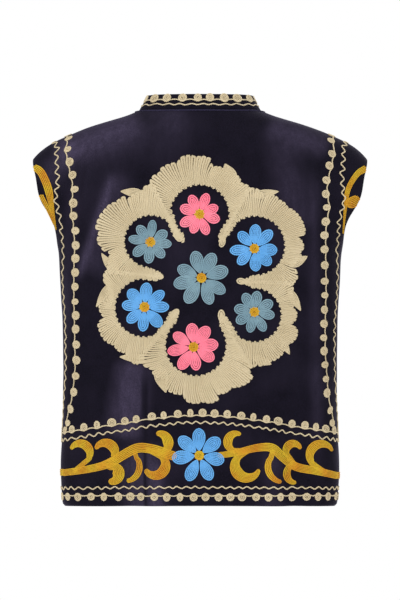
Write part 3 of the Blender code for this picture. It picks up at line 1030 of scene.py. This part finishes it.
# A hook leaves the stem at its root and curls round a centre, from one angle to another.
Hook = namedtuple(
    "Hook", "root_x root_z centre_x centre_z radius start end root_width middle_width tip_width"
)
HOOKS = [
    Hook(168, -22.5, 158, 2, 12.8, 222, 24, 6, 12.5, 4.5),
    Hook(137, -16, 124.5, 3, 12.6, 225, 22, 7, 13.5, 5),
    Hook(65, 7.5, 54, 15, 12.8, 238, 78, 7, 14.5, 6),
    Hook(121, -11, 117, -24, 9.6, 80, 288, 8, 16.5, 7),
    Hook(86, 8, 97, -14, 18, 140, 268, 6, 9, 5.5),
    Hook(71, 9.5, 58, -12, 13.2, 112, 334, 7, 14.5, 6),
    Hook(-61, 6, -49, 17, 11.0, -78, 120, 7, 12.5, 4.5),
    Hook(-130, -17, -124.5, 5.5, 9.4, -45, 165, 7, 11.5, 4.5),
    Hook(-170, -24.5, -162, -1, 15.2, -52, 158, 7, 12.5, 4),
    Hook(-68, 8.5, -63, -13, 15.5, 62, -162, 7, 15.5, 4.5),
    Hook(-98, 8, -110, -14, 19, 38, -86, 7, 9, 5),
    Hook(-126, -14, -127, -24, 11, 62, -98, 8, 10.5, 4.5),
]
HOOK_STEPS = 9
HOOK_OPENING = 0.12
LIMB_STEPS = 5


def hook_limb(hook):
    """The limb of a hook: its root, and then points round its curl, which opens a little."""
    knots = [(hook.root_x, hook.root_z)]
    for step in range(HOOK_STEPS + 1):
        t = step / HOOK_STEPS
        angle = math.radians(hook.start + (hook.end - hook.start) * t)
        radius = hook.radius * (1 + HOOK_OPENING * t * t)
        x = hook.centre_x + math.cos(angle) * radius
        knots.append((x, hook.centre_z + math.sin(angle) * radius))
    return Limb(knots, hook.root_width, hook.middle_width, hook.tip_width)


def limb_rows(limb, lay):
    """Rows along a limb, fanned out where it is wide. lay puts a flat point on the velvet."""
    spine = [Vector(place) for place in through(limb.knots, LIMB_STEPS)]
    last = len(spine) - 1
    widest = max(limb.root_width, limb.middle_width, limb.tip_width)
    count = max(2, round(widest / ROW_PITCH))
    lanes = [([], []) for _ in range(count)]
    for i, place in enumerate(spine):
        t = i / last
        ahead = (spine[min(last, i + 1)] - spine[max(0, i - 1)]).normalized()
        if t < 0.5:
            width = limb.root_width + (limb.middle_width - limb.root_width) * smooth(2 * t)
        else:
            width = limb.middle_width + (limb.tip_width - limb.middle_width) * (2 * t - 1) ** 2
        left = Vector((-ahead.y, ahead.x))
        for k, (points, widths) in enumerate(lanes):
            lane = 2 * (k + 0.5) / count - 1
            rounding = (1 - math.sqrt(1 - lane * lane)) * (2 * t - 1)
            spot = lay(place + (left * lane - ahead * rounding) * width / 2)
            if spot:
                points.append(spot)
                widths.append(width / count * OVERLAP)
    return [worked(points, widths) for points, widths in lanes if len(points) > 1]


CAP_LIMBS = [
    Limb([(193, -163), (198, -133), (203, -108), (213, -86), (224, -78)], 2.3, 11, 9),
    Limb([(196, -156), (205, -134), (214, -117)], 3, 8, 9),
    Limb([(-192, -168), (-194, -134), (-198, -109), (-211, -88), (-224, -80)], 2.3, 7, 10),
    Limb([(-194, -128), (-203, -127), (-213, -121)], 11, 15, 12),
]
hem_flower = Vector((FLOWERS[-1].across, FLOWERS[-1].up))
for name, on_cloth in (("back_scrolls", on_back), ("front_scrolls", on_front)):
    scroll_rows = []
    for limb in [LEFT_STEM, RIGHT_STEM] + [hook_limb(hook) for hook in HOOKS]:
        scroll_rows += limb_rows(limb, lambda place: on_cloth(*(hem_flower + place)))
    for limb in CAP_LIMBS:
        scroll_rows += limb_rows(limb, lambda place: on_cloth(*place))
    embroider(name, scroll_rows, GOLD)

# The side stems: a plain length of the same gold cotton at each side seam, which joins the scrolls
# of the back to those of the front. It is worked in rows side by side.
JOIN_WIDTH = 9.0
JOIN_ROWS = 4
JOIN_SHARES = {1: 0.0915, -1: 0.0835}
JOIN_TURNS = range(66, 115, 2)
join_rows = []
for side, share in JOIN_SHARES.items():
    stem = Route([(side * turn, share) for turn in JOIN_TURNS])
    for k in range(JOIN_ROWS):
        aside = ((k + 0.5) / JOIN_ROWS - 0.5) * JOIN_WIDTH
        steps = range(int(stem.length / BORDER_STEP) + 1)
        points = [stem.at(BORDER_STEP * i, aside)[0] for i in steps]
        join_rows.append(worked(points, JOIN_WIDTH / JOIN_ROWS * OVERLAP))
embroider("side_stems", join_rows, GOLD)

# The photograph was taken from behind, from a little below the vest's middle, with a long lens.
# From here on, places are in metres.
camera = new_object("camera", bpy.data.cameras.new("camera"))
camera.data.lens = 222.2
camera.data.sensor_width = 36.0
camera.location = (0, 5.0, -0.40)
aim = Vector((0, 0, -0.256))
camera.rotation_euler = (aim - camera.location).to_track_quat("-Z", "Y").to_euler()
bpy.context.scene.camera = camera

# A plain pale floor of matt white paper, far below, as the vest is held up by its wearer. It
# glows a little, so that it is as bright as the room.
FLOOR_Z = -1.35
FLOOR_RADIUS = 12.0
paper = bpy.data.materials.new("matt_white_paper")
paper.use_nodes = True
paper_finish = {
    "Base Color": linear("#F4F4F4"),
    "Roughness": 0.9,
    "Emission Color": linear("#FFFFFF"),
    "Emission Strength": 0.16,
}
for socket, value in paper_finish.items():
    paper.node_tree.nodes["Principled BSDF"].inputs[socket].default_value = value
disc = bmesh.new()
bmesh.ops.create_circle(disc, cap_ends=True, radius=FLOOR_RADIUS, segments=96)
bmesh.ops.translate(disc, verts=disc.verts, vec=(0, 0, FLOOR_Z))
disc_mesh = bpy.data.meshes.new("pale_floor")
disc.to_mesh(disc_mesh)
disc.free()
disc_mesh.materials.append(paper)
new_object("pale_floor", disc_mesh)

# Plain soft studio light: a large soft source above and to one side of the camera, a weaker one
# on the other side, one in front and a soft one from overhead, in a white room.
Lamp = namedtuple("Lamp", "name x y z size watts")
LAMPS = [
    Lamp("key", 1.7, 3.0, 1.5, 1.4, 40),
    Lamp("fill", -2.4, 2.6, 0.2, 2.4, 10),
    Lamp("front_key", -1.6, -3.0, 1.6, 1.6, 42),
]
OVERHEAD_STRENGTH = 1.5
OVERHEAD_SOFTNESS = 40
for lamp in LAMPS:
    light = bpy.data.lights.new(lamp.name, "AREA")
    light.shape = "DISK"
    light.size = lamp.size
    light.energy = lamp.watts
    stand = new_object(lamp.name, light)
    stand.location = (lamp.x, lamp.y, lamp.z)
    stand.rotation_euler = (aim - stand.location).to_track_quat("-Z", "Y").to_euler()
light = bpy.data.lights.new("overhead", "SUN")
light.energy = OVERHEAD_STRENGTH
light.angle = math.radians(OVERHEAD_SOFTNESS)
new_object("overhead", light).location = (0, 0, 3)
world = bpy.data.worlds.new("even_light")
world.use_nodes = True
background = world.node_tree.nodes["Background"]
background.inputs["Color"].default_value = linear("#FFFFFF")
# The room is dimmer towards its ceiling.
direction = node(world, "TexCoord").outputs["Generated"]
height = node(world, "SeparateXYZ", {"Vector": direction}).outputs["Z"]
dimming = {"Value": height, "From Min": 0.12, "From Max": 0.55, "To Min": 1.0, "To Max": 0.42}
dimmed = node(world, "MapRange", dimming)
world.node_tree.links.new(dimmed.outputs["Result"], background.inputs["Strength"])
bpy.context.scene.world = world
bpy.context.scene.view_settings.view_transform = "Standard"
